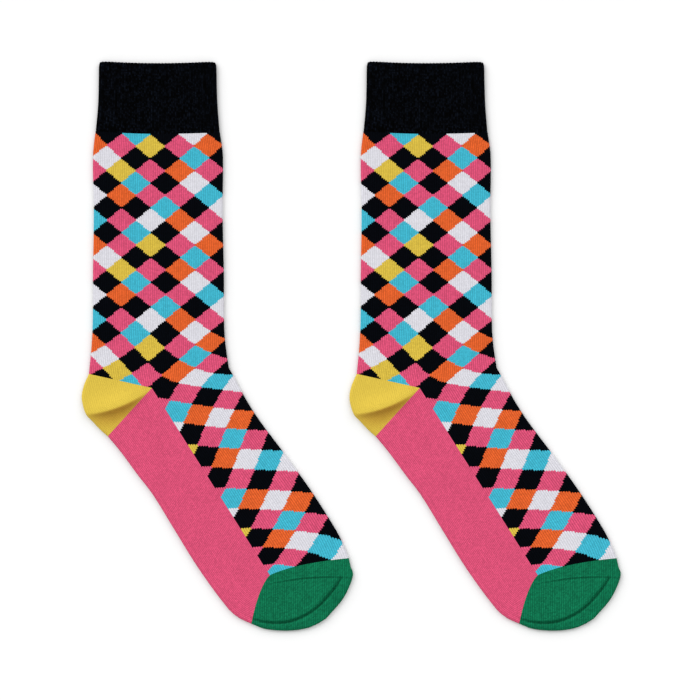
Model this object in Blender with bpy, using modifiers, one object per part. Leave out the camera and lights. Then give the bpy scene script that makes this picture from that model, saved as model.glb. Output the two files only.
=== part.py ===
"""A pair of knitted crew socks lying flat side by side, toes to the right.

Each sock is one knitted tube pressed flat: a ribbed cuff, a patterned leg that runs on as the
instep, a heel pocket, a plain sole and a toe pocket that closes the tube. Every zone is a wall of
cloth with air between its upper and lower layer, lofted through sections of the flat tube.
"""

import math
from collections import namedtuple

import bmesh
import bpy
from mathutils import Matrix, Vector

# Driving sizes, in millimetres.
WALL = 1.2
HOLLOW = 0.6
THICKNESS = 2 * WALL + HOLLOW
FOLD_RADIUS = THICKNESS / 2
SEAM_GAP = 0.3
PAIR_PITCH = 187.3
FOOT_SLOPE = math.radians(57.8)
HEEL_TIP_CUT = 0.8
TIP_ROUNDING = 0.7

# How finely the lofts are divided.
FLAT_STEPS = 3
FOLD_STEPS = 2
ROW_PITCH = 15.0
TOE_ROW_PITCH = 7.0

METRES = 0.001

# A section of the leg: where it meets the fold at the back, the middle and the fold at the
# front, as the distance across and the distance down from the mouth. Bow says how a section
# curves from its middle to its folds: 1 is straight, 2 is a parabola.
LegRow = namedtuple("LegRow", "back_x back_down mid_x mid_down front_x front_down bow")
CUFF_ROWS = (
    LegRow(-41.2, 0.0, 0.0, 1.6, 41.4, 0.3, 2.0),
    LegRow(-41.7, 28.0, 0.0, 28.6, 42.1, 28.0, 2.0),
    LegRow(-43.4, 48.6, 0.0, 50.6, 43.7, 49.6, 2.0),
)
LEG_ROWS = (
    CUFF_ROWS[-1],
    LegRow(-45.2, 66.0, 0.0, 67.0, 45.8, 66.0, 2.0),
    LegRow(-44.6, 105.0, 0.3, 105.0, 45.6, 105.0, 2.0),
    LegRow(-45.2, 150.0, 0.5, 150.0, 46.5, 150.0, 2.0),
    LegRow(-45.3, 180.0, 0.4, 180.0, 46.6, 180.0, 2.0),
    LegRow(-46.2, 199.0, -0.7, 203.0, 47.4, 196.0, 1.6),
    LegRow(-48.0, 218.4, -3.9, 228.2, 49.9, 213.9, 1.0),
)

# A section of the heel pocket fans out from the gore, where the heel starts, to the fold.
# Lift is how far the upper layer stands up between them.
HeelRow = namedtuple("HeelRow", "fold_x fold_down lift")
HEEL_ROWS = (
    HeelRow(-48.0, 218.4, 0.0),
    HeelRow(-51.8, 227.5, 1.0),
    HeelRow(-53.0, 236.0, 1.5),
    HeelRow(-51.3, 244.0, 0.9),
    HeelRow(-45.6, 251.6, 0.0),
    HeelRow(-39.5, 258.0, 0.0),
    HeelRow(-34.5, 262.0, 0.0),
)

# A section of the foot, measured from the gore: along is the way to the toes, and out is the
# distance from the line where sole and instep meet, towards the instep or towards the sole.
FootRow = namedtuple("FootRow", "mid_along mid_out sole_along sole_out instep_along instep_out bow")
FOOT_ROWS = (
    FootRow(0.0, 0.0, 12.7, 43.2, 16.6, 53.1, 1.0),
    FootRow(17.6, 0.0, 26.0, 42.4, 25.6, 52.6, 1.2),
    FootRow(40.0, 0.0, 46.0, 40.9, 43.0, 51.4, 1.4),
    FootRow(60.0, 0.0, 64.0, 39.3, 60.0, 51.6, 1.4),
    FootRow(90.0, 0.0, 93.0, 39.6, 90.0, 54.1, 1.4),
    FootRow(120.0, 0.0, 126.0, 39.7, 123.0, 56.0, 1.4),
    FootRow(145.0, 0.0, 160.0, 36.8, 154.0, 56.0, 1.4),
    FootRow(154.8, 0.0, 176.6, 29.1, 174.1, 53.1, 1.4),
)
TOE_ROWS = (
    FOOT_ROWS[-1],
    FootRow(167.0, 2.0, 185.0, 23.1, 180.0, 51.8, 1.4),
    FootRow(178.0, 5.0, 192.0, 14.5, 185.5, 49.8, 1.3),
    FootRow(188.0, 9.0, 197.5, 5.5, 192.5, 43.5, 1.2),
    FootRow(196.0, 12.0, 201.0, -3.2, 198.0, 34.0, 1.1),
    FootRow(201.7, 13.5, 201.7, -10.5, 201.5, 17.0, 1.0),
)

# Linear colour and roughness of each knitted zone.
Yarn = namedtuple("Yarn", "colour roughness")
YARNS = {
    "black_rib": Yarn((0.003, 0.003, 0.004), 0.9),
    "patterned_knit": Yarn((0.55, 0.12, 0.22), 0.85),
    "yellow_knit": Yarn((0.75, 0.50, 0.07), 0.85),
    "pink_knit": Yarn((0.66, 0.08, 0.17), 0.85),
    "green_knit": Yarn((0.01, 0.14, 0.07), 0.85),
}

GORE = Vector((LEG_ROWS[-1].mid_x, -LEG_ROWS[-1].mid_down))
LEG_DOWN = Vector((0.0, -1.0))
TOWARDS_TOES = Vector((math.cos(FOOT_SLOPE), -math.sin(FOOT_SLOPE)))
TOWARDS_INSTEP = Vector((math.sin(FOOT_SLOPE), math.cos(FOOT_SLOPE)))

Section = namedtuple("Section", "back middle front along bow lift")


def clear_scene():
    for obj in list(bpy.data.objects):
        bpy.data.objects.remove(obj)


def leg_section(row):
    back = Vector((row.back_x, -row.back_down))
    middle = Vector((row.mid_x, -row.mid_down))
    front = Vector((row.front_x, -row.front_down))
    return Section(back, middle, front, LEG_DOWN, row.bow, 0.0)


def on_foot(along, out):
    return GORE + along * TOWARDS_TOES + out * TOWARDS_INSTEP


def foot_section(row):
    sole = on_foot(row.sole_along, -row.sole_out)
    middle = on_foot(row.mid_along, row.mid_out)
    instep = on_foot(row.instep_along, row.instep_out)
    return Section(sole, middle, instep, TOWARDS_TOES, row.bow, 0.0)


def heel_section(row):
    fold = Vector((row.fold_x, -row.fold_down))
    tip = GORE + HEEL_TIP_CUT * (fold - GORE).normalized()
    return Section(fold, tip, tip, LEG_DOWN, 1.0, row.lift)


def smooth_rows(rows, place, pitch):
    """More rows on a smooth curve through these, no further apart than pitch where place is measured."""
    def slope(i):
        before, after = rows[max(i - 1, 0)], rows[min(i + 1, len(rows) - 1)]
        reach = place(after) - place(before)
        return [(b - a) / reach for a, b in zip(before, after)]

    filled = []
    for i in range(len(rows) - 1):
        start, end = rows[i], rows[i + 1]
        length = place(end) - place(start)
        steps = max(1, math.ceil(length / pitch))
        for step in range(steps):
            t = step / steps
            ease = t * t * (3 - 2 * t)
            rise = t * (1 - t) ** 2 * length
            fall = t * t * (t - 1) * length
            values = (
                a + ease * (b - a) + rise * da + fall * db
                for a, b, da, db in zip(start, end, slope(i), slope(i + 1))
            )
            filled.append(type(start)(*values))
    return filled + [rows[-1]]


def half_section(section, end):
    """The half of a flat tube from the middle of its upper layer, round its fold at end, to the lower middle."""
    across = end - section.middle
    ahead = across.dot(section.along)
    sideways = across - ahead * section.along
    width = across.length
    round_share = FOLD_RADIUS / width
    upper = []
    for step in range(FLAT_STEPS):
        share = (1 - round_share) * step / FLAT_STEPS
        upper.append((share, FOLD_RADIUS))
    for step in range(FOLD_STEPS):
        turn = math.pi / 2 * step / FOLD_STEPS
        share = 1 - round_share * (1 - math.sin(turn))
        upper.append((share, FOLD_RADIUS * math.cos(turn)))

    def point(share, height):
        flat = section.middle + share * sideways + share**section.bow * ahead * section.along
        return Vector((flat.x, flat.y, FOLD_RADIUS + height))

    raised = [
        point(share, height + section.lift * math.sin(math.pi * share) * (height > 0))
        for share, height in upper
    ]
    lowered = [point(share, -height) for share, height in reversed(upper)]
    return raised + [point(1.0, 0.0)] + lowered


def full_section(section):
    """A closed ring: upper middle, front fold, lower middle, back fold."""
    front = half_section(section, section.front)
    back = half_section(section, section.back)
    return front + back[-2:0:-1]


def eased(points, towards):
    """These points, each moved by half a seam's gap towards its match, or less where they are close."""
    moved = []
    for point, match in zip(points, towards):
        way = match - point
        step = min(SEAM_GAP / 2, 0.4 * way.length)
        moved.append(point + step * way.normalized())
    return moved


def eased_sides(strip):
    """A half section whose two edges, along the line where sole and instep meet, keep half the gap."""
    first, last = eased([strip[0], strip[-1]], [strip[1], strip[-2]])
    return [first] + strip[1:-1] + [last]


def loft(mesh, rows, closed):
    """Quads between each row of points and the next. The normal points out of the tube."""
    made = [[mesh.verts.new(point * METRES) for point in row] for row in rows]
    for above, below in zip(made, made[1:]):
        count = len(above)
        for i in range(count if closed else count - 1):
            j = (i + 1) % count
            mesh.faces.new((above[i], below[i], below[j], above[j]))


def closed_tip(section):
    """Rings that round off the end of the toe, until its two layers meet in one short line."""
    middle = Vector((section.middle.x, section.middle.y, FOLD_RADIUS))
    rings = []
    for step in range(1, FOLD_STEPS + 1):
        turn = math.pi / 2 * step / FOLD_STEPS
        shift = (FOLD_RADIUS * math.sin(turn) * section.along).to_3d()
        narrowing = 1 - TIP_ROUNDING * (1 - math.cos(turn))
        shrink = Matrix.Diagonal((narrowing, narrowing, math.cos(turn)))
        rings.append([middle + shrink @ (point - middle) + shift for point in full_section(section)])
    return rings


def cuff_surface(mesh):
    rings = [full_section(leg_section(row)) for row in smooth_rows(CUFF_ROWS, leg_place, ROW_PITCH)]
    rings[-1] = eased(rings[-1], rings[-2])
    loft(mesh, rings, closed=True)


def leg_and_instep_surface(mesh):
    rings = [full_section(leg_section(row)) for row in smooth_rows(LEG_ROWS, leg_place, ROW_PITCH)]
    rings[0] = eased(rings[0], rings[1])
    half = len(rings[-1]) // 2
    raised = eased(rings[-1], rings[-2])
    rings[-1] = [raised[0]] + rings[-1][1:half] + raised[half:]
    loft(mesh, rings, closed=True)

    strips = []
    for row in smooth_rows(FOOT_ROWS, foot_place, ROW_PITCH)[1:]:
        section = foot_section(row)
        strips.append(eased_sides(half_section(section, section.front)))
    strips.insert(0, rings[-1][: half + 1])
    strips[-1] = eased(strips[-1], strips[-2])
    loft(mesh, strips, closed=False)


def heel_surface(mesh):
    strips = []
    for row in HEEL_ROWS:
        section = heel_section(row)
        strips.append(half_section(section, section.back)[::-1])
    strips[0] = eased(strips[0], strips[1])
    strips[-1] = eased(strips[-1], strips[-2])
    loft(mesh, strips, closed=False)


def sole_surface(mesh):
    strips = []
    for row in smooth_rows(FOOT_ROWS, foot_place, ROW_PITCH):
        section = foot_section(row)
        strips.append(eased_sides(half_section(section, section.back))[::-1])
    strips[0] = eased(strips[0], strips[1])
    strips[-1] = eased(strips[-1], strips[-2])
    loft(mesh, strips, closed=False)


def toe_surface(mesh):
    rows = smooth_rows(TOE_ROWS, foot_place, TOE_ROW_PITCH)
    rings = [full_section(foot_section(row)) for row in rows]
    rings[0] = eased(rings[0], rings[1])
    rings += closed_tip(foot_section(rows[-1]))
    loft(mesh, rings, closed=True)


def leg_place(row):
    return row.mid_down


def foot_place(row):
    return row.mid_along


def yarn_material(name):
    yarn = YARNS[name]
    material = bpy.data.materials.new(name)
    material.use_nodes = True
    shader = material.node_tree.nodes["Principled BSDF"]
    shader.inputs["Base Color"].default_value = (*yarn.colour, 1.0)
    shader.inputs["Roughness"].default_value = yarn.roughness
    shader.inputs["Metallic"].default_value = 0.0
    return material


def zone_mesh(name, surface, yarn):
    shell = bmesh.new()
    surface(shell)
    bmesh.ops.remove_doubles(shell, verts=shell.verts, dist=0.001 * METRES)
    mesh = bpy.data.meshes.new(name)
    shell.to_mesh(mesh)
    shell.free()
    mesh.materials.append(yarn_material(yarn))
    mesh.shade_smooth()
    return mesh


Zone = namedtuple("Zone", "surface yarn")
ZONES = {
    "cuff": Zone(cuff_surface, "black_rib"),
    "leg_and_instep": Zone(leg_and_instep_surface, "patterned_knit"),
    "heel": Zone(heel_surface, "yellow_knit"),
    "sole": Zone(sole_surface, "pink_knit"),
    "toe": Zone(toe_surface, "green_knit"),
}


def middle_of_sock(meshes):
    """The middle of one sock's box, seen from above."""
    points = [vertex.co for mesh in meshes for vertex in mesh.vertices]
    low = Vector((min(p.x for p in points), min(p.y for p in points), 0.0))
    high = Vector((max(p.x for p in points), max(p.y for p in points), 0.0))
    return (low + high) / 2


def lay_sock(collection, side, meshes, place):
    for zone, mesh in meshes.items():
        piece = bpy.data.objects.new(f"{side}_{zone}", mesh)
        piece.location = place
        collection.objects.link(piece)
        wall = piece.modifiers.new("wall", "SOLIDIFY")
        wall.thickness = WALL * METRES
        wall.offset = -1.0
        wall.use_even_offset = True


def main():
    clear_scene()
    collection = bpy.data.collections.new("pair_of_socks")
    bpy.context.scene.collection.children.link(collection)
    meshes = {zone: zone_mesh(zone, made.surface, made.yarn) for zone, made in ZONES.items()}
    middle = middle_of_sock(meshes.values())
    half_pitch = Vector((PAIR_PITCH / 2 * METRES, 0.0, 0.0))
    lay_sock(collection, "left", meshes, -half_pitch - middle)
    lay_sock(collection, "right", meshes, half_pitch - middle)


main()
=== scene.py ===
"""The looks of a pair of knitted crew socks that lie flat side by side.

The frame gives the place and the thickness of the socks. Each zone of each sock is a closed shell
of knitted cloth: a grid of wales and courses pressed flat round the sections of the sock.
"""

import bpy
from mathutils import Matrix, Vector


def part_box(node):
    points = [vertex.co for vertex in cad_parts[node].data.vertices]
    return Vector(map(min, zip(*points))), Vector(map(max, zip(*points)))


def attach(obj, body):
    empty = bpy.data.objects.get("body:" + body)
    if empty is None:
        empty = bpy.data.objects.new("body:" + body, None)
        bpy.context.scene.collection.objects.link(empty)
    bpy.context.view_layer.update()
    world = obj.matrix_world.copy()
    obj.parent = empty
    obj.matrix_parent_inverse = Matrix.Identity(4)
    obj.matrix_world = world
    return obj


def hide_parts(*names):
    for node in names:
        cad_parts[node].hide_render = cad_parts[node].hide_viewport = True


bl_info = {
    "name": "Pair of Crew Socks",
    "version": (1, 0, 0),
    "blender": (4, 5, 0),
    "location": "3D View > Sidebar > Socks",
    "description": "Builds two flat knitted socks with rib cuffs, charted legs and plain feet",
    "category": "Add Mesh",
}

import math
from collections import namedtuple

import bmesh
import bpy
import numpy as np
from bpy.props import FloatProperty, FloatVectorProperty, PointerProperty
from bpy.types import Operator, Panel, PropertyGroup
from mathutils import Matrix, Vector

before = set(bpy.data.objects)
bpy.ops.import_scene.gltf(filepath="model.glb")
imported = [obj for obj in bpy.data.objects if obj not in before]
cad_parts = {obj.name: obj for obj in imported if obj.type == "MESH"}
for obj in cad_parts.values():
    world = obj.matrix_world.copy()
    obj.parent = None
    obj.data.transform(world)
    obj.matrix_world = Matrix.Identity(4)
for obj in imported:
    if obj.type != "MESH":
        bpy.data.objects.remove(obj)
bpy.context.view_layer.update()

MM = 0.001
SIDES = ("left", "right")

# The knit: stitches round the tube, and the size of one stitch in millimetres.
WALES = 144
QUARTER = WALES // 4
WALE_WIDTH = 1.27
COURSE_HEIGHT = 0.87
COLUMNS_PER_WALE = 3

# How far apart the rows of the grids lie, in millimetres, and for the heel in rows of its table.
CUFF_PITCH = 1.5
LEG_PITCH = 3.0
TOE_PITCH = 0.55
HEEL_PITCH = 0.15

# How many rows round down the tip of the toe, and the angles at which the edge of the mouth rolls
# over, in degrees.
TIP_STEPS = 6
MOUTH_TURNS = (78, 56, 30)

# The corners of the mouth: how closely they keep to the fold, how far down they reach, and how far
# they drop and move in, in millimetres.
CORNER_HOLD = 16
CORNER_REACH = 1.8
CORNER_DROP = 1.5
CORNER_INSET = 0.7

# The folds at the sides: the least slant to the outline that counts, and the most of the way to
# the middle that they take up.
LEAST_SLANT = 0.15
MOST_FOLD = 0.45

# The powers that narrow the furrows between the wales of jersey and between ribs.
JERSEY_POWER = 3
RIB_POWER = 1.3

# The corners of the largest face.
CORNERS = 4

# Places closer than this, in metres, are one vertex, and shorter vectors have no direction.
MERGE_DISTANCE = 1e-6
LEAST_LENGTH = 1e-9

# A section of the leg in millimetres: where it meets the fold at the back, the middle and the
# fold at the front, as the distance across and down from the mouth. Bow 1 is straight from the
# middle to the folds, 2 is a parabola.
LegRow = namedtuple("LegRow", "back_x back_down mid_x mid_down front_x front_down bow")
CUFF_ROWS = (
    LegRow(-41.2, 0.0, 0.0, 1.6, 41.4, 0.3, 2.0),
    LegRow(-41.7, 28.0, 0.0, 28.6, 42.1, 28.0, 2.0),
    LegRow(-43.4, 48.6, 0.0, 50.6, 43.7, 49.6, 2.0),
)
LEG_ROWS = (
    CUFF_ROWS[-1],
    LegRow(-45.2, 66.0, 0.0, 67.0, 45.8, 66.0, 2.0),
    LegRow(-44.6, 105.0, 0.3, 105.0, 45.6, 105.0, 2.0),
    LegRow(-45.2, 150.0, 0.5, 150.0, 46.5, 150.0, 2.0),
    LegRow(-45.3, 180.0, 0.4, 180.0, 46.6, 180.0, 2.0),
    LegRow(-46.2, 199.0, -0.7, 203.0, 47.4, 196.0, 1.6),
    LegRow(-48.0, 218.4, -3.9, 228.2, 49.9, 213.9, 1.0),
)

# The heel pocket fans out from the gore to these places on the fold.
HeelRow = namedtuple("HeelRow", "fold_x fold_down")
HEEL_ROWS = (
    HeelRow(-48.0, 218.4),
    HeelRow(-51.8, 227.5),
    HeelRow(-53.0, 236.0),
    HeelRow(-50.3, 246.2),
    HeelRow(-45.6, 251.6),
    HeelRow(-39.5, 258.0),
    HeelRow(-34.8, 262.07),
)
HEEL_TURN = 3

# A section of the foot, measured from the gore towards the toes, and out from the line where
# sole and instep meet.
FootRow = namedtuple("FootRow", "mid_along mid_out sole_along sole_out instep_along instep_out bow")
FOOT_ROWS = (
    FootRow(0.0, 0.0, 12.2, 44.2, 16.6, 53.1, 1.0),
    FootRow(17.6, 0.0, 26.0, 42.4, 25.6, 52.6, 1.2),
    FootRow(40.0, 0.0, 46.0, 40.9, 43.0, 51.4, 1.4),
    FootRow(60.0, 0.0, 64.0, 39.3, 60.0, 51.6, 1.4),
    FootRow(90.0, 0.0, 93.0, 39.6, 90.0, 54.1, 1.4),
    FootRow(120.0, 0.0, 126.0, 39.7, 123.0, 56.0, 1.4),
    FootRow(145.0, 0.0, 160.0, 37.1, 154.0, 56.0, 1.4),
    FootRow(150.2, 0.0, 169.0, 34.1, 164.5, 54.9, 1.4),
    FootRow(154.8, 0.0, 176.6, 29.1, 174.1, 53.1, 1.4),
)
TOE_ROWS = (
    FOOT_ROWS[-1],
    FootRow(167.0, 2.0, 184.6, 23.1, 180.0, 51.0, 1.4),
    FootRow(178.0, 5.0, 191.5, 14.5, 185.6, 49.3, 1.3),
    FootRow(187.5, 9.0, 196.9, 5.5, 191.6, 42.2, 1.2),
    FootRow(194.5, 12.0, 200.3, -3.2, 197.0, 32.2, 1.1),
    FootRow(199.4, 13.5, 201.5, -10.5, 201.5, 17.0, 1.0),
)
FOOT_SLOPE = math.radians(57.8)

# The courses of the toe bend up with its outline from this distance across, in millimetres, and
# rise by this much for each square millimetre of the way past it.
TOE_BEND_FROM = 80.0
TOE_BEND = 0.0095

# Soft lines on the cloth, in millimetres across and up from the mouth: from one end to the other,
# with a bow to the left, the width of the slope on the left and on the right, and an amount.
# They fade out at both ends, and the taper says how late.
Line = namedtuple("Line", "from_x from_y to_x to_y bow left right amount")
LINE_TAPER = 0.6

# Creases of the upper layer. The amount is the height, which is negative for a trough.
CREASES = (
    Line(-7.0, -231.2, -51.0, -246.6, 3.2, 2.6, 8.0, 2.9),
    Line(-9.0, -241.5, -40.0, -256.0, 0.0, 3.0, 3.0, -0.3),
    Line(76.5, -365.4, 137.5, -360.6, 2.6, 0.5, 0.5, 0.35),
    Line(75.5, -366.6, 137.5, -361.9, 2.6, 0.9, 0.6, -0.45),
    Line(64.0, -389.0, 116.0, -378.0, -8.4, 0.9, 0.7, -1.7),
    Line(108.0, -385.0, 130.0, -359.0, -1.5, 0.9, 0.7, -1.8),
    Line(63.6, -387.2, 115.6, -376.2, -8.2, 3.2, 1.0, 0.4),
    Line(106.6, -383.8, 128.6, -357.8, -1.5, 2.6, 0.9, 0.4),
    Line(64.4, -391.0, 116.4, -380.0, -8.6, 1.0, 3.0, 0.4),
    Line(109.5, -386.3, 131.5, -360.3, -1.5, 1.0, 3.0, 0.4),
    Line(72.0, -351.5, 90.0, -346.0, 0.6, 2.4, 2.0, -0.5),
    Line(80.0, -357.5, 92.0, -354.5, 0.3, 1.6, 1.6, 0.3),
    Line(33.0, -204.0, 46.0, -219.0, -1.0, 2.5, 3.5, -0.3),
    Line(38.0, -196.0, 45.0, -206.0, 0.6, 2.0, 3.0, 0.2),
    Line(-30.0, -196.0, 12.0, -204.0, 2.0, 7.0, 6.0, -0.22),
    Line(-20.0, -120.0, 18.0, -128.0, 2.5, 11.0, 9.0, 0.18),
    Line(20.0, -262.0, 60.0, -318.0, 3.0, 8.0, 6.0, 0.2),
    Line(88.0, -300.0, 106.0, -330.0, -2.0, 6.0, 7.0, -0.2),
    Line(-14.0, -300.0, 26.0, -330.0, 2.0, 7.0, 5.0, -0.2),
)

# Creases of the lower layer, which only lift off the floor.
UNDER_CREASES = (
    Line(-6.0, -230.0, -48.0, -244.0, 3.0, 3.0, 5.0, 0.5),
    Line(76.0, -368.0, 136.0, -361.0, 2.2, 0.8, 0.6, 0.4),
    Line(68.0, -388.0, 132.0, -362.0, -12.0, 1.4, 1.0, 0.6),
    Line(36.0, -202.0, 47.0, -217.0, -1.0, 3.0, 3.0, 0.35),
    Line(-32.0, -90.0, 4.0, -97.0, 1.5, 6.0, 8.0, 0.25),
    Line(6.0, -160.0, 38.0, -152.0, -2.0, 8.0, 5.0, 0.3),
    Line(30.0, -282.0, 52.0, -320.0, 2.0, 5.0, 7.0, 0.3),
    Line(8.0, -316.0, 34.0, -344.0, -1.5, 6.0, 4.0, 0.25),
)

# Painted shade: along these lines the steep side of the heel crease, the grooves of the toe and the
# trough of its seam are painted darker, as if lying in shade.
HEEL_SHADES = (Line(-6.0, -231.0, -51.0, -248.0, 3.4, 11.0, 1.0, 0.8),)
TOE_SHADES = (
    Line(64.0, -389.2, 116.0, -378.2, -8.4, 0.55, 0.6, 0.9),
    Line(108.0, -385.2, 130.0, -359.2, -1.5, 0.55, 0.6, 0.9),
    Line(76.0, -366.0, 137.5, -361.2, 2.6, 0.5, 0.5, 0.3),
)

# The chart of the leg: one letter a diamond, nine diamonds round the sock and a row for each
# half diamond down. Even rows lean on the black yarn and odd rows on the pink.
CHART = (
    "KTKWKKTKW",
    "PYPOPWPPO",
    "WKKTKKYKT",
    "YPOPTPPWP",
    "KTKWKKWTK",
    "OPPTPPYPW",
    "KKTKWTKKY",
    "PWOPPOPPT",
)
YARN_OF_LETTER = {
    "K": "black",
    "P": "pink",
    "T": "turquoise",
    "W": "white",
    "O": "orange",
    "Y": "yellow",
}
DIAMOND_WALES = 16
DIAMOND_COURSES = 20

# How far a crease can move an inner wall into the hollow, and sink the outer wall, in millimetres.
SMALL_LIFT = 0.25
DEEPEST = 1.1

GORE = np.array((LEG_ROWS[-1].mid_x, -LEG_ROWS[-1].mid_down))
LEG_DOWN = np.array((0.0, -1.0))
TOWARDS_TOES = np.array((math.cos(FOOT_SLOPE), -math.sin(FOOT_SLOPE)))
TOWARDS_INSTEP = np.array((math.sin(FOOT_SLOPE), math.cos(FOOT_SLOPE)))


def millimetres(metres):
    return metres / MM


def frame_thickness():
    """The height of a sock in the frame."""
    low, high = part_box("left_cuff")
    return high.z - low.z


def sock_origin(side):
    """Where the middle of this sock's mouth lies in the frame."""
    low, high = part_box(f"{side}_cuff")
    back = min(row.back_x for row in CUFF_ROWS)
    return Vector((low.x - back * MM, high.y, low.z))


class SockSizes(PropertyGroup):
    """Sizes of the knitted cloth."""

    thickness: FloatProperty(
        name="Thickness",
        description="Height of a sock as it lies, over both layers",
        default=frame_thickness(),
        min=0.001,
        unit="LENGTH",
    )
    wall: FloatProperty(
        name="Cloth",
        description="Thickness of one layer of cloth",
        default=0.0012,
        min=0.0002,
        unit="LENGTH",
    )
    fold_reach: FloatProperty(
        name="Fold",
        description="How far a fold rounds in from the outline",
        default=0.0021,
        min=0.0005,
        unit="LENGTH",
    )
    rib_depth: FloatProperty(
        name="Rib Depth",
        description="Depth of the furrows between the ribs of the cuff",
        default=0.0005,
        min=0.0,
        unit="LENGTH",
    )
    wale_depth: FloatProperty(
        name="Wale Depth",
        description="Depth of the furrows between the columns of stitches",
        default=0.00012,
        min=0.0,
        unit="LENGTH",
    )
    loop_height: FloatProperty(
        name="Loop Height",
        description="How far the yarn of each stitch stands out",
        default=0.00022,
        min=0.0,
        unit="LENGTH",
    )
    floor_size: FloatProperty(
        name="Floor",
        description="Length of a side of the floor",
        default=30.0,
        min=1.0,
        unit="LENGTH",
    )


def yarn_property(name, red, green, blue):
    """A colour property, given as screen values from 0 to 255."""
    return FloatVectorProperty(
        name=name,
        description=f"Colour of the {name.lower()} yarn",
        default=[linear(value) for value in (red, green, blue)],
        size=3,
        min=0.0,
        max=1.0,
        subtype="COLOR",
    )


def linear(value):
    """The amount of light of a screen value from 0 to 255."""
    share = value / 255
    return share / 12.92 if share <= 0.04045 else ((share + 0.055) / 1.055) ** 2.4


class SockYarns(PropertyGroup):
    """Colours of the yarns."""

    black: yarn_property("Black", 4, 6, 11)
    pink: yarn_property("Pink", 218, 82, 119)
    turquoise: yarn_property("Turquoise", 64, 176, 199)
    white: yarn_property("White", 205, 204, 211)
    orange: yarn_property("Orange", 223, 97, 45)
    yellow: yarn_property("Yellow", 207, 179, 67)
    heel: yarn_property("Heel", 202, 175, 67)
    toe: yarn_property("Toe", 17, 116, 79)


# A section of the sock laid flat: its points on the back fold, in the middle and on the front
# fold, the direction along the sock, its bow, and how far it has rounded down to the tip.
Section = namedtuple("Section", "back middle front along bow closing")


def leg_section(row):
    """The section of a row of the cuff or leg."""
    back = np.array((row.back_x, -row.back_down))
    middle = np.array((row.mid_x, -row.mid_down))
    front = np.array((row.front_x, -row.front_down))
    return Section(back, middle, front, LEG_DOWN, row.bow, 0.0)


def on_foot(along, out):
    """The place this far from the gore towards the toes, and out towards the instep."""
    return GORE + along * TOWARDS_TOES + out * TOWARDS_INSTEP


def foot_section(row):
    """The section of a row of the foot or toe."""
    sole = on_foot(row.sole_along, -row.sole_out)
    middle = on_foot(row.mid_along, row.mid_out)
    instep = on_foot(row.instep_along, row.instep_out)
    return Section(sole, middle, instep, TOWARDS_TOES, row.bow, 0.0)


def heel_section(row):
    """The section of a row of the heel, from the gore to the fold on both sides."""
    fold = np.array((row.fold_x, -row.fold_down))
    return Section(fold, GORE, fold, LEG_DOWN, 1.0, 0.0)


def smooth_rows(rows, place, pitch):
    """More rows on a smooth curve through these, no further apart than the pitch.

    Where a row lies along the curve comes from place(row, number).
    """
    def slope(i):
        before, after = rows[max(i - 1, 0)], rows[min(i + 1, len(rows) - 1)]
        reach = place(after, i + 1) - place(before, i - 1)
        if i == 0:
            reach = place(after, 1) - place(before, 0)
        if i == len(rows) - 1:
            reach = place(after, i) - place(before, i - 1)
        return [(b - a) / reach for a, b in zip(before, after)]

    filled = []
    for i in range(len(rows) - 1):
        start, end = rows[i], rows[i + 1]
        length = place(end, i + 1) - place(start, i)
        steps = max(1, math.ceil(length / pitch))
        for step in range(steps):
            t = step / steps
            ease = t * t * (3 - 2 * t)
            rise = t * (1 - t) ** 2 * length
            fall = t * t * (t - 1) * length
            values = (
                a + ease * (b - a) + rise * da + fall * db
                for a, b, da, db in zip(start, end, slope(i), slope(i + 1))
            )
            filled.append(type(start)(*values))
    return filled + [rows[-1]]


def leg_place(row, number):
    return row.mid_down


def foot_place(row, number):
    return row.mid_along


def heel_place(row, number):
    return float(number)


class Cloth:
    """The sizes of the cloth in millimetres, which every zone shares."""

    def __init__(self, sizes):
        self.rise = millimetres(sizes.thickness) / 2
        self.wall = millimetres(sizes.wall)
        self.reach = millimetres(sizes.fold_reach)
        self.rib_depth = millimetres(sizes.rib_depth)
        self.wale_depth = millimetres(sizes.wale_depth)


def unit(vectors):
    """The same directions with a length of one."""
    lengths = np.linalg.norm(vectors, axis=-1, keepdims=True)
    return vectors / np.maximum(lengths, LEAST_LENGTH)


def on_lines(points, lines):
    """The amount that soft lines add up to at these places."""
    total = np.zeros(points.shape[:-1])
    for line in lines:
        start = np.array((line.from_x, line.from_y))
        chord = np.array((line.to_x, line.to_y)) - start
        length = math.hypot(*chord)
        left = np.array((-chord[1], chord[0])) / length
        place = (points - start) @ chord / length**2
        inside = np.clip(place, 0.0, 1.0)
        offset = (points - start) @ left - line.bow * 4 * inside * (1 - inside)
        width = np.where(offset > 0, line.left, line.right)
        taper = np.sin(np.pi * inside) ** LINE_TAPER
        total += line.amount * taper * np.exp(-((offset / width) ** 2))
    return total


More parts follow.
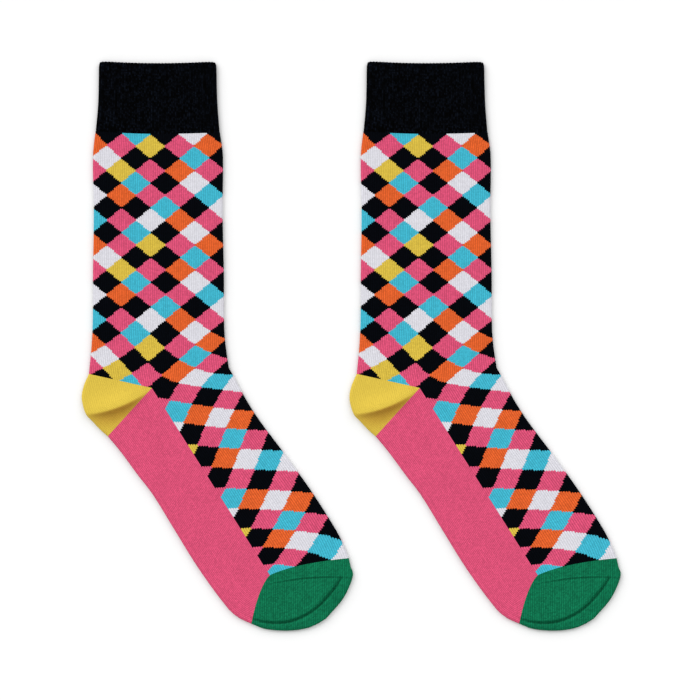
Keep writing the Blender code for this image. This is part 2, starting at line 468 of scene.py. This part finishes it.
def zone_surface(sections, wales, cloth, furrows, shades):
    """The outer wall, the inner wall and the painted shade of a zone: a row a section and a column
    a wale.

    Wale 0 is the fold at the back, 36 the middle of the upper layer, 72 the fold at the front
    and 108 the middle of the lower layer.
    """
    turn = wales % WALES
    on_top = turn <= 2 * QUARTER
    on_front = (turn > QUARTER) & (turn < 3 * QUARTER)
    from_middle = np.abs(np.where(on_top, turn - QUARTER, turn - 3 * QUARTER)) / QUARTER

    back = np.array([s.back for s in sections])
    front = np.array([s.front for s in sections])
    middle = np.array([s.middle for s in sections])[:, None, :]
    along = np.array([s.along for s in sections])[:, None, :]
    bow = np.array([s.bow for s in sections])[:, None, None]
    closing = np.array([s.closing for s in sections])[:, None]

    across = np.where(on_front[None, :, None], front[:, None, :], back[:, None, :]) - middle
    width = np.linalg.norm(across, axis=-1)
    outward = unit(across)
    ahead = (across * along).sum(axis=-1, keepdims=True)
    sideways = across - ahead * along

    # Where the outline runs nearly along the section, the fold rounds in over a longer way.
    edge = unit(
        np.where(
            on_front[None, :, None],
            np.gradient(front, axis=0)[:, None, :],
            np.gradient(back, axis=0)[:, None, :],
        )
    )
    slant = np.abs(edge[..., 0] * outward[..., 1] - edge[..., 1] * outward[..., 0])
    reach = np.minimum(cloth.reach / np.maximum(slant, LEAST_SLANT), MOST_FOLD * width)

    arc = math.pi / 2 * np.sqrt((reach**2 + cloth.rise**2) / 2)
    run = from_middle[None, :] * (width - reach + arc)
    fold = np.clip((run - (width - reach)) / arc, 0.0, 1.0) * math.pi / 2
    share = np.where(fold > 0, width - reach + reach * np.sin(fold), run) / width
    share = share[..., None]
    plan = middle + share * sideways + share**bow * ahead * along

    layer = np.where(on_top, 1.0, -1.0)[None, :]
    lean = unit(np.stack([np.sin(fold) / reach, layer * np.cos(fold) / cloth.rise], axis=-1))
    normal = np.concatenate([outward * lean[..., :1], lean[..., 1:]], axis=-1)
    height = layer * cloth.rise * np.cos(fold)

    # The end of the toe rounds down until the two layers meet. The folds lie on the outline.
    ending = cloth.reach * np.sin(closing) * (1 - share[..., 0] ** bow[..., 0])
    plan = plan + ending[..., None] * along
    height = height * np.cos(closing)
    tip = np.concatenate([along, np.zeros_like(along[..., :1])], axis=-1)
    normal = unit(normal * np.cos(closing)[..., None] + tip * np.sin(closing)[..., None])

    flatness = np.clip(np.cos(fold) * np.cos(closing), 0.0, 1.0)
    above = np.maximum(on_lines(plan, CREASES), -DEEPEST)
    lift = np.where(layer > 0, above, on_lines(plan, UNDER_CREASES)) * flatness
    # Painted shade along the shade lines, on the upper layer only, fading out over the folds and
    # the tip.
    shade = np.where(layer > 0, on_lines(plan, shades), 0.0) * flatness
    base = np.concatenate([plan, (cloth.rise + height)[..., None]], axis=-1)
    up = np.array((0.0, 0.0, 1.0))
    outer = base + lift[..., None] * up - normal * furrows(wales)[None, :, None]
    sunk = np.where(layer > 0, np.maximum(lift, -SMALL_LIFT), np.minimum(lift, SMALL_LIFT))
    inner = base + sunk[..., None] * up - normal * cloth.wall
    return outer, inner, np.clip(shade, 0.0, 1.0)


# One grid of a zone: the places of its outer and inner wall, its painted shade, and its wale and
# course.
ZonePanel = namedtuple("ZonePanel", "outer inner shade stitches")


def courses_down(sections, start=0.0):
    """The number of courses above each section, from the way between their middles and folds."""
    places = [np.array((s.middle, (s.front + s.back) / 2)) for s in sections]
    steps = [np.linalg.norm(b - a, axis=-1).mean() for a, b in zip(places, places[1:])]
    return start + np.concatenate([[0.0], np.cumsum(steps)]) / COURSE_HEIGHT


def knitted_panel(sections, first_wale, last_wale, cloth, furrows, first_course=0.0, shades=()):
    """A panel whose columns are wales and whose rows are courses, counted from first_course."""
    columns = round((last_wale - first_wale) * COLUMNS_PER_WALE)
    wales = np.linspace(first_wale, last_wale, columns + 1)
    outer, inner, shade = zone_surface(sections, wales, cloth, furrows, shades)
    courses = courses_down(sections, first_course)
    stitches = np.stack(np.meshgrid(wales, courses), axis=-1)
    return ZonePanel(outer, inner, shade, stitches)


def turned_stitches(panel, wale_axis, course_axis):
    """The panel of a pocket, with its stitches along two directions of the flat sock."""
    plan = panel.outer[..., :2]
    across = plan @ wale_axis / WALE_WIDTH
    down = plan @ course_axis / COURSE_HEIGHT
    return panel._replace(stitches=np.stack([across, down], axis=-1))


def on_last_row(before, after, columns):
    """The second panel with its first row on these columns of the last row of the first panel."""
    after.outer[0] = before.outer[-1, columns]
    after.inner[0] = before.inner[-1, columns]
    return after


def no_furrows(wales):
    """The depth of plain cloth."""
    return np.zeros_like(wales)


def jersey_furrows(cloth):
    """The depth between the wales of jersey."""
    def furrows(wales):
        return cloth.wale_depth * np.abs(np.cos(np.pi * wales)) ** JERSEY_POWER

    return furrows


def rib_furrows(cloth):
    """The depth of a rib, in which every second wale stands back."""
    def furrows(wales):
        return cloth.rib_depth * (0.5 + 0.5 * np.cos(np.pi * wales)) ** RIB_POWER

    return furrows


def rounded_mouth(panel):
    """The cuff with soft corners at the mouth, and with the edge of its cloth rolled over."""
    wales = panel.stitches[0, :, 0]
    nearness = np.abs((wales / QUARTER) % 2 - 1) ** CORNER_HOLD
    depth = panel.outer[0, :, 1] - panel.outer[:, :, 1]
    inset = nearness * np.exp(-depth / CORNER_REACH)
    sideways = np.sign(panel.outer[..., 0])
    shift = np.stack([-CORNER_INSET * inset * sideways, -CORNER_DROP * inset, 0 * inset], axis=-1)
    outer = panel.outer + shift
    inner = panel.inner + shift
    middle = (outer[0] + inner[0]) / 2
    half = (outer[0] - inner[0]) / 2
    over = np.linalg.norm(half, axis=-1, keepdims=True) * np.array((0.0, 1.0, 0.0))
    turns = [math.radians(angle) for angle in MOUTH_TURNS]
    rolled = np.array([middle + half * math.cos(t) + over * math.sin(t) for t in turns])
    under = np.array([middle - half * math.cos(t) + over * math.sin(t) for t in turns])
    courses = np.array([[0.0, -math.sin(t)] for t in turns])[:, None]
    return ZonePanel(
        np.concatenate([rolled, outer]),
        np.concatenate([under, inner]),
        np.concatenate([panel.shade[:1]] * len(turns) + [panel.shade]),
        np.concatenate([panel.stitches[:1] + courses, panel.stitches]),
    )


def cuff_panels(cloth):
    """The ribbed tube, open at the mouth."""
    sections = [leg_section(row) for row in smooth_rows(CUFF_ROWS, leg_place, CUFF_PITCH)]
    return [rounded_mouth(knitted_panel(sections, 0, WALES, cloth, rib_furrows(cloth)))]


def leg_panels(cloth):
    """The tube of the leg, and the upper half of the foot that grows out of its front half."""
    leg = [leg_section(row) for row in smooth_rows(LEG_ROWS, leg_place, LEG_PITCH)]
    instep = [foot_section(row) for row in smooth_rows(FOOT_ROWS, foot_place, LEG_PITCH)]
    furrows = jersey_furrows(cloth)
    tube = knitted_panel(leg, 0, WALES, cloth, furrows)
    upper = knitted_panel(instep, QUARTER, 3 * QUARTER, cloth, furrows, courses_down(leg)[-1])
    front_half = slice(QUARTER * COLUMNS_PER_WALE, 3 * QUARTER * COLUMNS_PER_WALE + 1)
    return [tube, on_last_row(tube, upper, front_half)]


def sole_panels(cloth):
    """The lower half of the foot."""
    sections = [foot_section(row) for row in smooth_rows(FOOT_ROWS, foot_place, LEG_PITCH)]
    return [knitted_panel(sections, -QUARTER, QUARTER, cloth, jersey_furrows(cloth))]


def heel_panels(cloth):
    """Two wedges that meet where the short rows turn, knitted along the outer edge of each."""
    rows = smooth_rows(HEEL_ROWS, heel_place, HEEL_PITCH)
    sections = [heel_section(row) for row in rows]
    turn = round(HEEL_TURN * (len(sections) - 1) / (len(HEEL_ROWS) - 1))
    pocket = knitted_panel(sections, -QUARTER, QUARTER, cloth, no_furrows, shades=HEEL_SHADES)
    panels = []
    for wedge, edge in ((slice(turn + 1), sections[0]), (slice(turn, None), sections[-1])):
        across = unit(edge.back - GORE)
        down = np.array((across[1], -across[0]))
        panel = ZonePanel(*(values[wedge] for values in pocket))
        panels.append(turned_stitches(panel, across, down))
    return panels


def toe_panels(cloth):
    """The pocket of the toe, which rounds down at its tip until the layers meet."""
    sections = [foot_section(row) for row in smooth_rows(TOE_ROWS, foot_place, TOE_PITCH)]
    for step in range(1, TIP_STEPS + 1):
        sections.append(sections[-1]._replace(closing=math.pi / 2 * step / TIP_STEPS))
    pocket = knitted_panel(sections, 0, WALES, cloth, no_furrows, shades=TOE_SHADES)
    panel = turned_stitches(pocket, np.array((1.0, 0.0)), LEG_DOWN)
    past_bend = np.maximum(pocket.outer[..., 0] - TOE_BEND_FROM, 0.0)
    panel.stitches[..., 1] += TOE_BEND * past_bend**2 / COURSE_HEIGHT
    return [panel]


def add_grid(shell, panel, number, shade, uv_map):
    """A grid of the panel's rows and columns, with each corner at its place on the outer wall."""
    rows, columns = panel.outer.shape[0] - 1, panel.outer.shape[1] - 1
    made = bmesh.ops.create_grid(shell, x_segments=columns, y_segments=rows, size=0.5)
    for vertex in made["verts"]:
        column = round((vertex.co.x + 0.5) * columns)
        row = round((vertex.co.y + 0.5) * rows)
        vertex[number] = row * (columns + 1) + column
    stitches = panel.stitches.reshape(-1, 2)
    for face in {face for vertex in made["verts"] for face in vertex.link_faces}:
        for loop in face.loops:
            loop[uv_map].uv = stitches[loop.vert[number]]
    outer = panel.outer.reshape(-1, 3) * MM
    shades = panel.shade.reshape(-1)
    for vertex in made["verts"]:
        vertex.co = outer[vertex[number]]
        vertex[shade] = shades[vertex[number]]
    return made["verts"]


def sort_faces(shell):
    """Puts the faces in the order of their vertices, which is the same in each run."""
    shell.verts.index_update()
    most = CORNERS * len(shell.verts)

    def order(face):
        numbers = [vertex.index for vertex in face.verts]
        return min(numbers) * most + sum(numbers)

    shell.faces.sort(key=order)


def shell_mesh(name, panels):
    """A closed shell of cloth: the outer wall, the inner wall and the rims between them."""
    shell = bmesh.new()
    number = shell.verts.layers.int.new("number")
    shade = shell.verts.layers.float.new("shade")
    uv_map = shell.loops.layers.uv.new("stitches")
    inner_places = []
    for panel in panels:
        first = len(inner_places)
        inner_places.extend(panel.inner.reshape(-1, 3) * MM)
        for vertex in add_grid(shell, panel, number, shade, uv_map):
            vertex[number] += first
    bmesh.ops.remove_doubles(shell, verts=shell.verts, dist=MERGE_DISTANCE)
    bmesh.ops.recalc_face_normals(shell, faces=shell.faces)
    outer_faces = list(shell.faces)
    made = bmesh.ops.extrude_face_region(shell, geom=outer_faces, use_keep_orig=True)["geom"]
    walls = {item for item in made if isinstance(item, bmesh.types.BMFace)}.union(outer_faces)
    for item in made:
        if isinstance(item, bmesh.types.BMVert):
            item.co = inner_places[item[number]]
    for face in shell.faces:
        face.smooth = True
        if face not in walls:
            for edge in face.edges:
                edge.smooth = False
    if shell.calc_volume(signed=True) < 0:
        bmesh.ops.reverse_faces(shell, faces=shell.faces)
    sort_faces(shell)
    mesh = bpy.data.meshes.new(name)
    shell.to_mesh(mesh)
    shell.free()
    mesh.attributes.remove(mesh.attributes["number"])
    return mesh


class NodeSheet:
    """Adds nodes to a tree. A setting may be a number, a colour or the socket of another node."""

    def __init__(self, tree):
        self.tree = tree

    def add(self, kind, settings=(), **inputs):
        node = self.tree.nodes.new(kind)
        for name, value in dict(settings).items():
            setattr(node, name, value)
        for name, value in inputs.items():
            self.set(node.inputs[name.replace("_", " ")], value)
        return node

    def set(self, socket, value):
        if isinstance(value, bpy.types.NodeSocket):
            self.tree.links.new(value, socket)
        else:
            socket.default_value = value

    def math(self, operation, *values):
        node = self.add("ShaderNodeMath", {"operation": operation})
        for socket, value in zip(node.inputs, values):
            self.set(socket, value)
        return node.outputs[0]

    def scaled(self, vector, amount):
        node = self.add("ShaderNodeVectorMath", {"operation": "SCALE"})
        self.set(node.inputs[0], vector)
        self.set(node.inputs["Scale"], amount)
        return node.outputs[0]

    def between(self, value, low, high):
        """A value from 0 to 1 spread from low to high."""
        return self.math("MULTIPLY_ADD", value, high - low, low)

    def mixed(self, share, first, second):
        node = self.add("ShaderNodeMix", {"data_type": "RGBA"})
        self.set(node.inputs["Factor"], share)
        colours = [socket for socket in node.inputs if socket.type == "RGBA"]
        self.set(colours[0], first)
        self.set(colours[1], second)
        return next(socket for socket in node.outputs if socket.type == "RGBA")


def new_group(name, inputs, outputs):
    """A shader node group with named sockets: the group, its sheet, its inputs and its outputs."""
    group = bpy.data.node_groups.new(name, "ShaderNodeTree")
    for label, kind, default in inputs:
        socket = group.interface.new_socket(label, in_out="INPUT", socket_type=kind)
        if default is not None:
            socket.default_value = default
    for label, kind in outputs:
        group.interface.new_socket(label, in_out="OUTPUT", socket_type=kind)
    sheet = NodeSheet(group)
    given = sheet.add("NodeGroupInput").outputs
    result = sheet.add("NodeGroupOutput").inputs
    return group, sheet, given, result


# A knitted loop: how far its yarn slants, the powers that fill out the profile of a loop's leg, of
# a course and of a wale, and how high a leg and a course stay at their lowest.
STITCH_SLANT = 0.5
LEG_POWER = 0.5
LEG_LOW = 0.6
COURSE_POWER = 0.7
COURSE_LOW = 0.5
WALE_POWER = 0.8


def loops_group():
    """The height and the depth between the yarns of knitted loops, and the number of each loop."""
    group, sheet, given, result = new_group(
        "Knitted Loops",
        [("Stitch", "NodeSocketVector", None), ("Slant", "NodeSocketFloat", STITCH_SLANT)],
        [
            ("Height", "NodeSocketFloat"),
            ("Gap", "NodeSocketFloat"),
            ("Wale", "NodeSocketFloat"),
            ("Course", "NodeSocketFloat"),
        ],
    )
    parts = sheet.add("ShaderNodeSeparateXYZ")
    sheet.set(parts.inputs[0], given["Stitch"])
    wale, course = parts.outputs["X"], parts.outputs["Y"]
    across = sheet.math("FRACT", wale)
    from_middle = sheet.math("ABSOLUTE", sheet.math("MULTIPLY_ADD", across, 2.0, -1.0))
    slanted = sheet.math("SUBTRACT", course, sheet.math("MULTIPLY", from_middle, given["Slant"]))
    leg = sheet.math("ABSOLUTE", sheet.math("SINE", sheet.math("MULTIPLY", across, 2 * math.pi)))
    yarn = sheet.math("ABSOLUTE", sheet.math("SINE", sheet.math("MULTIPLY", slanted, math.pi)))
    column = sheet.math("SINE", sheet.math("MULTIPLY", across, math.pi))
    leg_height = sheet.between(sheet.math("POWER", leg, LEG_POWER), LEG_LOW, 1.0)
    yarn_height = sheet.between(sheet.math("POWER", yarn, COURSE_POWER), COURSE_LOW, 1.0)
    stitch = sheet.math("MULTIPLY", leg_height, yarn_height)
    height = sheet.math("MULTIPLY", stitch, sheet.math("POWER", column, WALE_POWER))
    sheet.set(result["Height"], height)
    sheet.set(result["Gap"], sheet.math("SUBTRACT", 1.0, height))
    sheet.set(result["Wale"], sheet.math("FLOOR", wale))
    sheet.set(result["Course"], sheet.math("FLOOR", slanted))
    return group


# The soft patches and the fibres of the yarn: how many there are to a metre, how finely they are
# broken up, and how rough the fibres make the yarn.
PATCH_SCALE = 70.0
PATCH_DETAIL = 3.0
FIBRE_SCALE = 1600.0
FIBRE_DETAIL = 2.0
SMOOTHEST = 0.75
ROUGHEST = 1.0

# What a colour keeps of its red, green and blue where shade is painted on the cloth: the painted
# shade darkens it and turns it warmer.
PAINTED_SHADE_TINT = (0.62, 0.40, 0.40, 1.0)


def tone_group():
    """A yarn's colour with the shade painted between loops, a tone for each loop, soft patches, and
    the shade painted along creases and grooves.

    Light fills the gaps of a pale yarn, so its tone changes less than that of a dark one.
    """
    group, sheet, given, result = new_group(
        "Yarn Tone",
        [
            ("Colour", "NodeSocketColor", None),
            ("Gap", "NodeSocketFloat", 0.0),
            ("Wale", "NodeSocketFloat", 0.0),
            ("Course", "NodeSocketFloat", 0.0),
            ("Place", "NodeSocketVector", None),
            ("Shade", "NodeSocketFloat", 0.0),
            ("Gap Shade", "NodeSocketFloat", 0.5),
            ("Wale Change", "NodeSocketFloat", 0.1),
            ("Loop Change", "NodeSocketFloat", 0.1),
            ("Loop Peak", "NodeSocketFloat", 1.0),
            ("Patch Change", "NodeSocketFloat", 0.1),
        ],
        [("Colour", "NodeSocketColor"), ("Roughness", "NodeSocketFloat")],
    )
    cell = sheet.add("ShaderNodeCombineXYZ", X=given["Wale"], Y=given["Course"])
    loops = sheet.add("ShaderNodeTexWhiteNoise", {"noise_dimensions": "2D"}, Vector=cell.outputs[0])
    wales = sheet.add("ShaderNodeTexWhiteNoise", {"noise_dimensions": "1D"}, W=given["Wale"])
    patches = sheet.add(
        "ShaderNodeTexNoise", Vector=given["Place"], Scale=PATCH_SCALE, Detail=PATCH_DETAIL
    )
    fibres = sheet.add(
        "ShaderNodeTexNoise", Vector=given["Place"], Scale=FIBRE_SCALE, Detail=FIBRE_DETAIL
    )

    def change(value, amount):
        centred = sheet.math("SUBTRACT", value, 0.5)
        return sheet.math("MULTIPLY_ADD", centred, amount, 1.0)

    shade = sheet.math("SUBTRACT", 1.0, sheet.math("MULTIPLY", given["Gap"], given["Gap Shade"]))
    wale_tone = change(wales.outputs["Value"], given["Wale Change"])
    # A few loops picked at random are painted brighter: partly random tone, partly painted glints
    # of fibre sheen.
    peaks = sheet.math("POWER", loops.outputs["Value"], given["Loop Peak"])
    peaks = sheet.math("MULTIPLY", peaks, sheet.math("ADD", given["Loop Peak"], 1.0))
    past_mean = sheet.math("SUBTRACT", peaks, 1.0)
    loop_tone = sheet.math("MULTIPLY_ADD", past_mean, given["Loop Change"], 1.0)
    patch_tone = change(patches.outputs["Fac"], given["Patch Change"])
    knit_tone = sheet.math("MULTIPLY", wale_tone, loop_tone)
    full_tone = sheet.math("MULTIPLY", shade, sheet.math("MULTIPLY", knit_tone, patch_tone))
    paleness = sheet.add("ShaderNodeRGBToBW", Color=given["Colour"])
    darkness = sheet.math("SUBTRACT", 1.0, paleness.outputs[0])
    tone = sheet.math("MULTIPLY_ADD", sheet.math("SUBTRACT", full_tone, 1.0), darkness, 1.0)
    # Painted shade: the colour is darkened and warmed where the mesh's shade attribute is set.
    painted_shade_mix = sheet.add("ShaderNodeMix", {"data_type": "RGBA", "blend_type": "MULTIPLY"})
    lit, own = [socket for socket in painted_shade_mix.inputs if socket.type == "RGBA"]
    sheet.set(painted_shade_mix.inputs["Factor"], given["Shade"])
    sheet.set(lit, sheet.scaled(given["Colour"], tone))
    sheet.set(own, PAINTED_SHADE_TINT)
    sheet.set(result["Colour"], next(out for out in painted_shade_mix.outputs if out.type == "RGBA"))
    sheet.set(result["Roughness"], sheet.between(fibres.outputs["Fac"], SMOOTHEST, ROUGHEST))
    return group


def chart_group(yarns):
    """The colour of a loop on the chart of diamonds, from its wale and its course."""
    group, sheet, given, result = new_group(
        "Diamond Chart",
        [("Wale", "NodeSocketFloat", 0.0), ("Course", "NodeSocketFloat", 0.0)],
        [("Colour", "NodeSocketColor")],
    )
    across = sheet.math("DIVIDE", sheet.math("ADD", given["Wale"], 0.5), DIAMOND_WALES)
    down = sheet.math("DIVIDE", sheet.math("ADD", given["Course"], 0.5), DIAMOND_COURSES)
    falling = sheet.math("FLOOR", sheet.math("ADD", across, down))
    rising = sheet.math("FLOOR", sheet.math("SUBTRACT", across, down))
    row = sheet.math("FLOORED_MODULO", sheet.math("SUBTRACT", falling, rising), len(CHART))
    pair = sheet.math("FLOOR", sheet.math("DIVIDE", sheet.math("ADD", falling, rising), 2.0))
    width = len(CHART[0])
    column = sheet.math("FLOORED_MODULO", pair, width)
    place = sheet.math("DIVIDE", sheet.math("ADD", column, 0.5), width)
    colour = (0.0, 0.0, 0.0, 1.0)
    for number, letters in enumerate(CHART):
        ramp = sheet.add("ShaderNodeValToRGB", Fac=place)
        ramp.color_ramp.interpolation = "CONSTANT"
        stops = ramp.color_ramp.elements
        while len(stops) < width:
            stops.new(1.0)
        for index, letter in enumerate(letters):
            stops[index].position = index / width
            stops[index].color = (*getattr(yarns, YARN_OF_LETTER[letter]), 1.0)
        here = sheet.math("COMPARE", row, number, 0.5)
        colour = sheet.mixed(here, colour, ramp.outputs["Color"])
    sheet.set(result["Colour"], colour)
    return group


# How the knit of each zone shows: how dark the shade painted in the gaps is, how much the tone
# changes from wale to wale and from loop to loop, how far a few loops picked at random are painted
# brighter, partly as random tone and partly as painted glints of fibre sheen, and the change over
# patches.
Finish = namedtuple("Finish", "slot gap_shade wale_change loop_change loop_peak patch_change")
FINISHES = {
    "cuff": Finish("black_rib", 0.85, 0.6, 0.95, 3.0, 0.6),
    "leg_and_instep": Finish("patterned_knit", 0.70, 0.08, 0.16, 1.0, 0.18),
    "heel": Finish("yellow_knit", 0.28, 0.04, 0.04, 1.0, 0.18),
    "sole": Finish("pink_knit", 0.64, 0.06, 0.15, 1.0, 0.14),
    "toe": Finish("green_knit", 0.80, 0.09, 0.26, 1.0, 0.34),
}

# How much light all the yarns reflect on their surface.
YARN_SHINE = 0.02
YARN_OF_ZONE = {"cuff": "black", "heel": "heel", "sole": "pink", "toe": "toe"}


def group_node(sheet, name, **inputs):
    """A node group placed in a sheet with its own values. Returns its output sockets."""
    node = sheet.add("ShaderNodeGroup", {"node_tree": bpy.data.node_groups[name]})
    for label, value in inputs.items():
        sheet.set(node.inputs[label.replace("_", " ")], value)
    return node.outputs


def knit_material(zone, sizes, yarns):
    """The knitted cloth of one zone."""
    finish = FINISHES[zone]
    material = bpy.data.materials.new(finish.slot)
    material.use_nodes = True
    sheet = NodeSheet(material.node_tree)
    shader = material.node_tree.nodes["Principled BSDF"]
    stitch = sheet.add("ShaderNodeUVMap", {"uv_map": "stitches"}).outputs["UV"]
    place = sheet.add("ShaderNodeTexCoord").outputs["Object"]
    # The painted shade of the heel crease and the toe grooves, stored on the mesh.
    shade = sheet.add("ShaderNodeAttribute", {"attribute_name": "shade"}).outputs["Fac"]
    loops = group_node(sheet, "Knitted Loops", Stitch=stitch)
    if zone in YARN_OF_ZONE:
        colour = (*getattr(yarns, YARN_OF_ZONE[zone]), 1.0)
    else:
        chart = group_node(sheet, "Diamond Chart", Wale=loops["Wale"], Course=loops["Course"])
        colour = chart["Colour"]
    tone = group_node(
        sheet,
        "Yarn Tone",
        Colour=colour,
        Gap=loops["Gap"],
        Wale=loops["Wale"],
        Course=loops["Course"],
        Place=place,
        Shade=shade,
        Gap_Shade=finish.gap_shade,
        Wale_Change=finish.wale_change,
        Loop_Change=finish.loop_change,
        Loop_Peak=finish.loop_peak,
        Patch_Change=finish.patch_change,
    )
    bump = sheet.add("ShaderNodeBump", Height=loops["Height"], Distance=sizes.loop_height)
    sheet.set(shader.inputs["Base Color"], tone["Colour"])
    sheet.set(shader.inputs["Roughness"], tone["Roughness"])
    sheet.set(shader.inputs["Normal"], bump.outputs["Normal"])
    shader.inputs["Specular IOR Level"].default_value = YARN_SHINE
    return material


def build_zone(context, zone, make_panels):
    """The two pieces of one zone, one on each sock."""
    scene = context.scene
    cloth = Cloth(scene.sock_sizes)
    panels = make_panels(cloth)
    flat_sock = shell_mesh(zone, panels)
    flat_sock.materials.append(knit_material(zone, scene.sock_sizes, scene.sock_yarns))
    for side in SIDES:
        mesh = flat_sock.copy()
        mesh.transform(Matrix.Translation(sock_origin(side)))
        piece = bpy.data.objects.new(f"{side}_{zone}_knit", mesh)
        scene.collection.objects.link(piece)
        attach(piece, "root")
        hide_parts(f"{side}_{zone}")
    bpy.data.meshes.remove(flat_sock)


class SOCKS_OT_yarn_groups(Operator):
    """Build the node groups that the knitted materials share"""

    bl_idname = "socks.yarn_groups"
    bl_label = "Yarn and Stitch Groups"

    def execute(self, context):
        loops_group()
        tone_group()
        chart_group(context.scene.sock_yarns)
        return {"FINISHED"}


class SOCKS_OT_cuffs(Operator):
    """Knit the black rib cuffs"""

    bl_idname = "socks.cuffs"
    bl_label = "Cuffs"

    def execute(self, context):
        build_zone(context, "cuff", cuff_panels)
        return {"FINISHED"}


class SOCKS_OT_legs(Operator):
    """Knit the patterned legs and insteps"""

    bl_idname = "socks.legs"
    bl_label = "Legs and Insteps"

    def execute(self, context):
        build_zone(context, "leg_and_instep", leg_panels)
        return {"FINISHED"}


class SOCKS_OT_heels(Operator):
    """Knit the yellow heel pockets"""

    bl_idname = "socks.heels"
    bl_label = "Heels"

    def execute(self, context):
        build_zone(context, "heel", heel_panels)
        return {"FINISHED"}


class SOCKS_OT_soles(Operator):
    """Knit the plain pink soles"""

    bl_idname = "socks.soles"
    bl_label = "Soles"

    def execute(self, context):
        build_zone(context, "sole", sole_panels)
        return {"FINISHED"}


class SOCKS_OT_toes(Operator):
    """Knit the green toe pockets"""

    bl_idname = "socks.toes"
    bl_label = "Toes"

    def execute(self, context):
        build_zone(context, "toe", toe_panels)
        return {"FINISHED"}


# What the camera takes in and where it stands, in metres, and its sensor, in millimetres.
VIEW_WIDTH = 0.490
VIEW_CENTRE = (-0.00105, -0.00245)
CAMERA_HEIGHT = 2.2
SENSOR_WIDTH = 36.0

# How far below the socks the floor lies, in metres, its tone, and the light of the room.
FLOOR_DROP = 0.00005
FLOOR_TONE = 0.72
ROOM_LIGHT = 0.86

# A soft lamp: the direction it stands in and its height, in degrees, its strength and its softness.
Lamp = namedtuple("Lamp", "name towards height strength softness")
LAMPS = (
    Lamp("key_light", 140.0, 30.0, 2.3, 50.0),
    Lamp("fill_light", 50.0, 30.0, 1.25, 50.0),
)


def add_floor(scene):
    """A pale floor, just under the socks."""
    half = scene.sock_sizes.floor_size / 2
    slab = bmesh.new()
    bmesh.ops.create_grid(slab, x_segments=1, y_segments=1, size=half)
    bmesh.ops.translate(slab, verts=slab.verts, vec=(0.0, 0.0, -FLOOR_DROP))
    mesh = bpy.data.meshes.new("floor")
    slab.to_mesh(mesh)
    slab.free()
    material = bpy.data.materials.new("pale_floor")
    material.use_nodes = True
    shader = material.node_tree.nodes["Principled BSDF"]
    shader.inputs["Base Color"].default_value = (FLOOR_TONE, FLOOR_TONE, FLOOR_TONE, 1.0)
    shader.inputs["Roughness"].default_value = 1.0
    shader.inputs["Specular IOR Level"].default_value = 0.0
    mesh.materials.append(material)
    floor = bpy.data.objects.new("floor", mesh)
    scene.collection.objects.link(floor)


def add_lamps(scene):
    """The soft lamps, and a white room that gives light from all round."""
    for lamp in LAMPS:
        light = bpy.data.lights.new(lamp.name, "SUN")
        light.energy = lamp.strength
        light.angle = math.radians(lamp.softness)
        stand = bpy.data.objects.new(lamp.name, light)
        towards, height = math.radians(lamp.towards), math.radians(lamp.height)
        level = math.cos(height)
        stand.location = (level * math.cos(towards), level * math.sin(towards), math.sin(height))
        stand.rotation_euler = (-stand.location).to_track_quat("-Z", "Y").to_euler()
        scene.collection.objects.link(stand)
    world = bpy.data.worlds.new("studio")
    world.use_nodes = True
    background = world.node_tree.nodes["Background"]
    background.inputs["Color"].default_value = (1.0, 1.0, 1.0, 1.0)
    background.inputs["Strength"].default_value = ROOM_LIGHT
    scene.world = world


def add_camera(scene):
    """A camera that looks straight down on both socks."""
    camera = bpy.data.cameras.new("camera")
    camera.sensor_width = SENSOR_WIDTH
    camera.lens = SENSOR_WIDTH * CAMERA_HEIGHT / VIEW_WIDTH
    stand = bpy.data.objects.new("camera", camera)
    stand.location = (*VIEW_CENTRE, CAMERA_HEIGHT)
    scene.collection.objects.link(stand)
    scene.camera = stand


class SOCKS_OT_stage(Operator):
    """Set up the pale floor, the soft lamps and the camera that looks straight down"""

    bl_idname = "socks.stage"
    bl_label = "Stage"

    def execute(self, context):
        scene = context.scene
        scene.view_settings.view_transform = "Standard"
        add_floor(scene)
        add_lamps(scene)
        add_camera(scene)
        return {"FINISHED"}


PIECE_OPERATORS = (SOCKS_OT_cuffs, SOCKS_OT_legs, SOCKS_OT_heels, SOCKS_OT_soles, SOCKS_OT_toes)
OPERATORS = (SOCKS_OT_yarn_groups, *PIECE_OPERATORS, SOCKS_OT_stage)


class SOCKS_PT_panel(Panel):
    """Sizes, yarns and steps of the pair of socks"""

    bl_label = "Pair of Socks"
    bl_idname = "SOCKS_PT_panel"
    bl_space_type = "VIEW_3D"
    bl_region_type = "UI"
    bl_category = "Socks"

    def draw(self, context):
        layout = self.layout
        for group in (context.scene.sock_sizes, context.scene.sock_yarns):
            box = layout.box()
            for name in group.__annotations__:
                box.prop(group, name)
        for operator in OPERATORS:
            layout.operator(operator.bl_idname)


CLASSES = (SockSizes, SockYarns, *OPERATORS, SOCKS_PT_panel)


def register():
    for cls in CLASSES:
        bpy.utils.register_class(cls)
    bpy.types.Scene.sock_sizes = PointerProperty(type=SockSizes)
    bpy.types.Scene.sock_yarns = PointerProperty(type=SockYarns)


def unregister():
    del bpy.types.Scene.sock_yarns
    del bpy.types.Scene.sock_sizes
    for cls in reversed(CLASSES):
        bpy.utils.unregister_class(cls)


def main():
    register()
    for operator in OPERATORS:
        category, name = operator.bl_idname.split(".")
        getattr(getattr(bpy.ops, category), name)()


if __name__ == "__main__":
    main()
